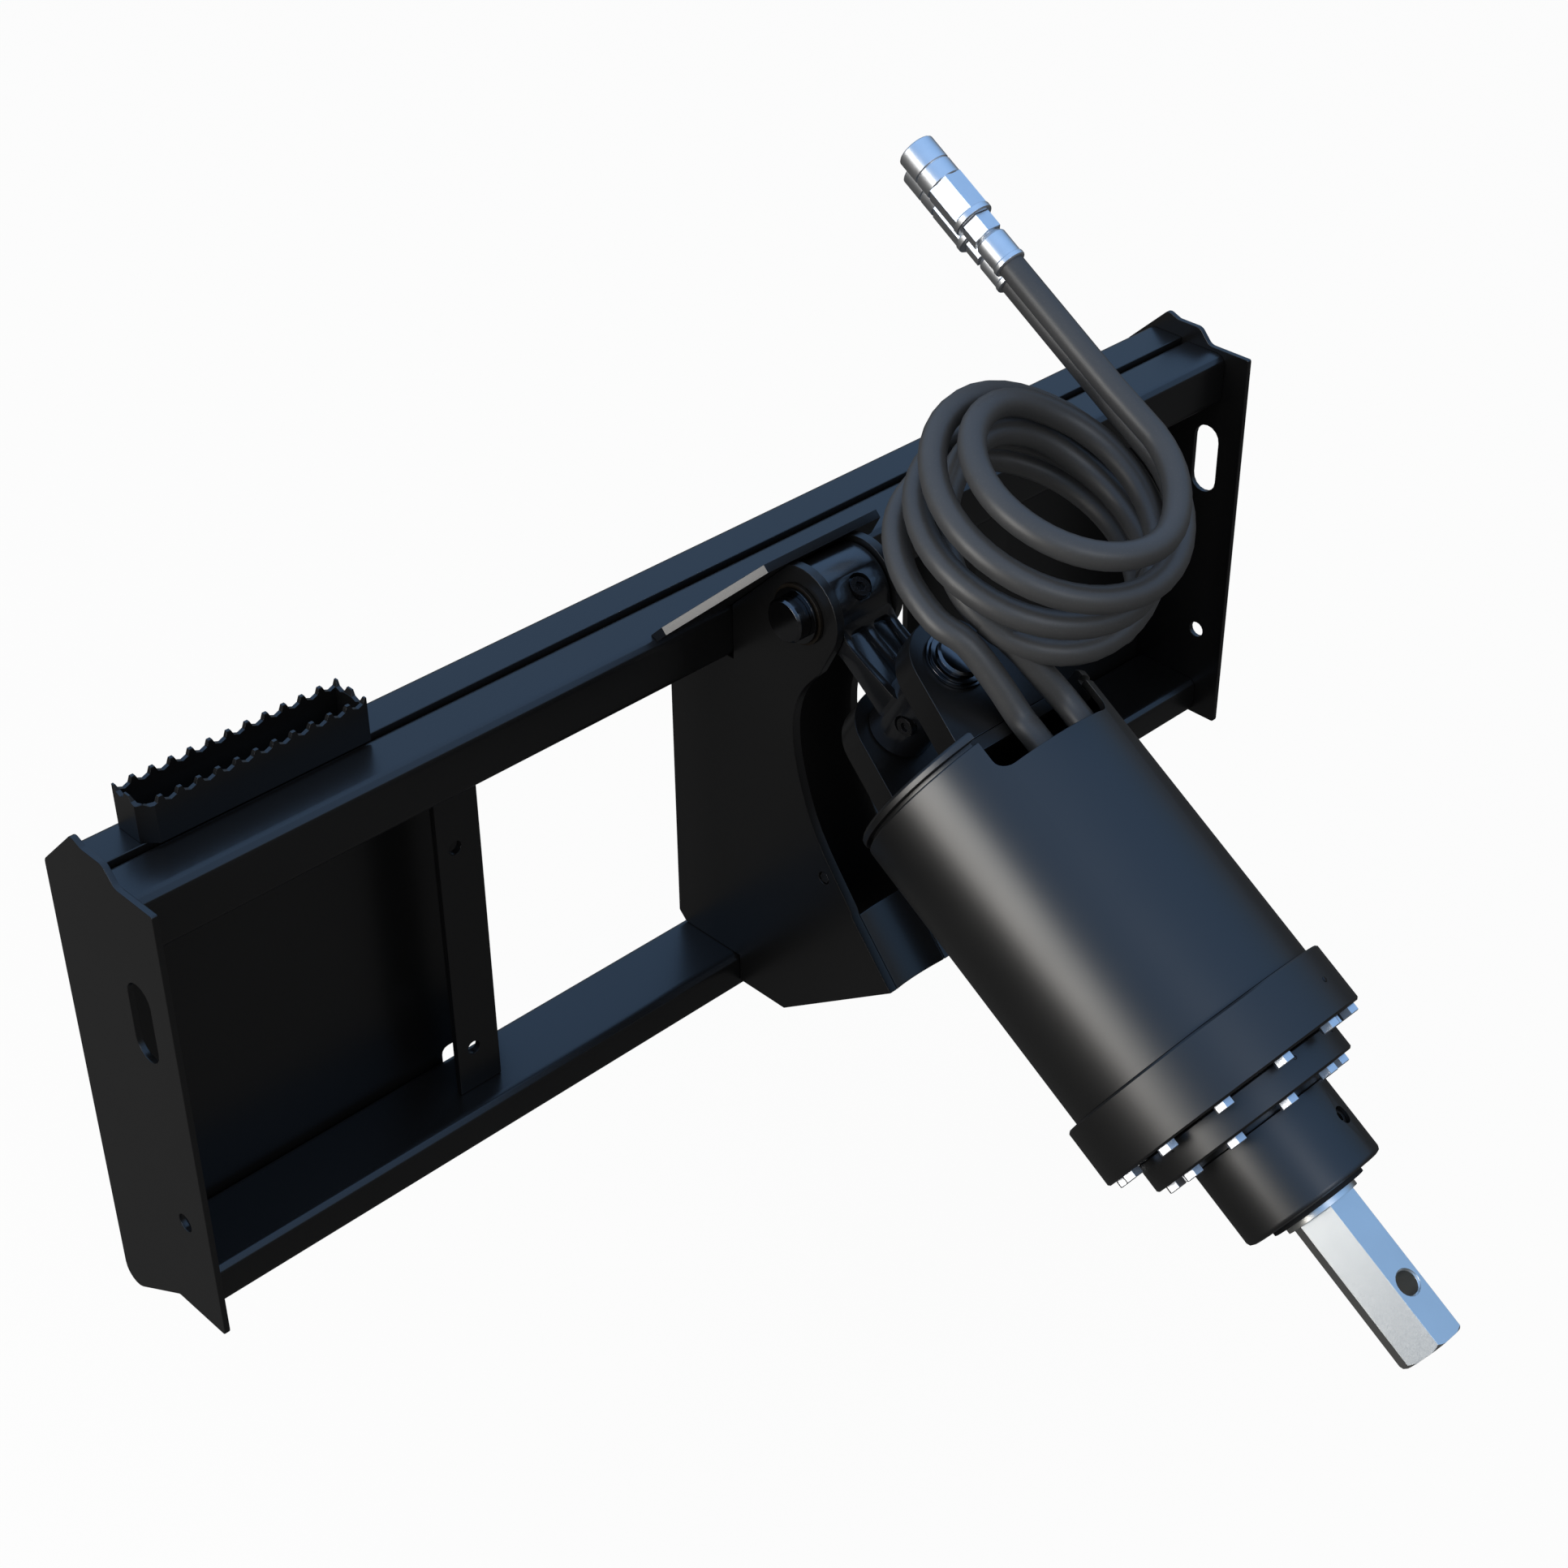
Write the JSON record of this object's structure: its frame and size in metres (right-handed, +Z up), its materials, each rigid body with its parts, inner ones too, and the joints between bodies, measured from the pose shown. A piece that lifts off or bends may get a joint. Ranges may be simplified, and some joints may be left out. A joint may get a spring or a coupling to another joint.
{
  "type": "earth auger drive",
  "caption": "Hydraulic planetary auger drive hung by a two-way knuckle from a loader coupler frame, with a hexagon output shaft and coiled hoses that end in flat-face couplers.",
  "frame": {"origin": "centre of the coupler plane, which holds the back faces of the two bay panels", "axes": "+Z up, +Y towards the loader, +X across the frame to the right when the drive is seen from the front"},
  "size_m": [1.15, 0.7919, 0.7494],
  "materials": {
    "frame_paint": "satin black paint on steel",
    "cast_black": "black painted casting",
    "pin_steel": "machined steel",
    "zinc_plate": "bright zinc plate",
    "hose_rubber": "smooth dark grey hose cover",
    "seal_rubber": "matte black",
    "bush_bronze": "plain bearing bronze"
  },
  "bodies": {
    "frame": {"end_plate_left": "frame_paint", "end_plate_right": "frame_paint", "top_tube": "frame_paint", "bottom_tube": "frame_paint", "top_lip": "frame_paint", "bottom_flange": "frame_paint", "back_panel_left": "frame_paint", "back_panel_right": "frame_paint", "upright_left": "frame_paint", "upright_right": "frame_paint", "hitch_cheek_left": "frame_paint", "hitch_cheek_right": "frame_paint", "hitch_gusset": "frame_paint", "cradle": "frame_paint", "step": "frame_paint", "cheek_bush_left": "bush_bronze", "cheek_bush_right": "bush_bronze"},
    "link": {"knuckle_link": "cast_black", "upper_pin": "pin_steel", "upper_pin_ring_left": "pin_steel", "upper_pin_ring_right": "pin_steel", "upper_pin_bolt": "zinc_plate", "lower_pin": "pin_steel", "lower_pin_washer_front": "pin_steel", "lower_pin_washer_rear": "pin_steel", "lower_pin_ring_front": "pin_steel", "lower_pin_ring_rear": "pin_steel", "lower_pin_bolt": "zinc_plate"},
    "drive": {"hanger_ear_front": "frame_paint", "hanger_ear_rear": "frame_paint", "ear_bush_front": "bush_bronze", "ear_bush_rear": "bush_bronze", "hanger_disc": "frame_paint", "motor_shell": "frame_paint", "hydraulic_motor": "cast_black", "gearbox_cover": "cast_black", "gear_ring": "frame_paint", "output_flange": "frame_paint", "output_housing": "frame_paint", "shaft_seal": "seal_rubber", "housing_plug": "zinc_plate", "hose_coil": "hose_rubber", "hose_a_inlet": "hose_rubber", "hose_b_inlet": "hose_rubber", "hose_a_outlet": "hose_rubber", "hose_b_outlet": "hose_rubber", "hose_a_motor_fitting": "zinc_plate", "hose_b_motor_fitting": "zinc_plate", "hose_a_end_fitting": "zinc_plate", "hose_b_end_fitting": "zinc_plate", "coupler_a": "zinc_plate", "coupler_b": "zinc_plate", "bearing_upper": "pin_steel", "bearing_lower": "pin_steel"},
    "output": {"output_shaft": "pin_steel", "planet_carrier": "pin_steel"},
    "sun": {"sun_gear": "pin_steel"},
    "planet_1": {"planet_gear_1": "pin_steel"},
    "planet_2": {"planet_gear_2": "pin_steel"},
    "planet_3": {"planet_gear_3": "pin_steel"}
  },
  "joints": [
    {"name": "hitch_tilt", "type": "hinge", "parent": "frame", "child": "link", "pos_m": [0, -0.1543, 0.2265], "axis": [1, 0, 0], "range_deg": [-60, 22]},
    {"name": "side_swing", "type": "hinge", "parent": "link", "child": "drive", "pos_m": [0, -0.25124, 0.18135], "axis": [0, -0.538, 0.8429], "range_deg": [-20, 20]},
    {"name": "output_spin", "type": "hinge", "parent": "drive", "child": "output", "pos_m": [0, -0.16189, 0.23839], "axis": [0, -0.8429, -0.538], "continuous": true},
    {"name": "sun_spin", "type": "hinge", "parent": "drive", "child": "sun", "pos_m": [0, -0.16189, 0.23839], "axis": [0, -0.8429, -0.538], "continuous": true},
    {"name": "planet_1_spin", "type": "hinge", "parent": "output", "child": "planet_1", "pos_m": [0.048, -0.16189, 0.23839], "axis": [0, -0.8429, -0.538], "continuous": true},
    {"name": "planet_2_spin", "type": "hinge", "parent": "output", "child": "planet_2", "pos_m": [-0.024, -0.18425, 0.27342], "axis": [0, -0.8429, -0.538], "continuous": true},
    {"name": "planet_3_spin", "type": "hinge", "parent": "output", "child": "planet_3", "pos_m": [-0.024, -0.13952, 0.20334], "axis": [0, -0.8429, -0.538], "continuous": true}
  ],
  "couplings": [
    {"joint": "sun_spin", "follows": "output_spin", "ratio": 4},
    {"joint": "planet_1_spin", "follows": "output_spin", "ratio": -3},
    {"joint": "planet_2_spin", "follows": "output_spin", "ratio": -3},
    {"joint": "planet_3_spin", "follows": "output_spin", "ratio": -3}
  ]
}
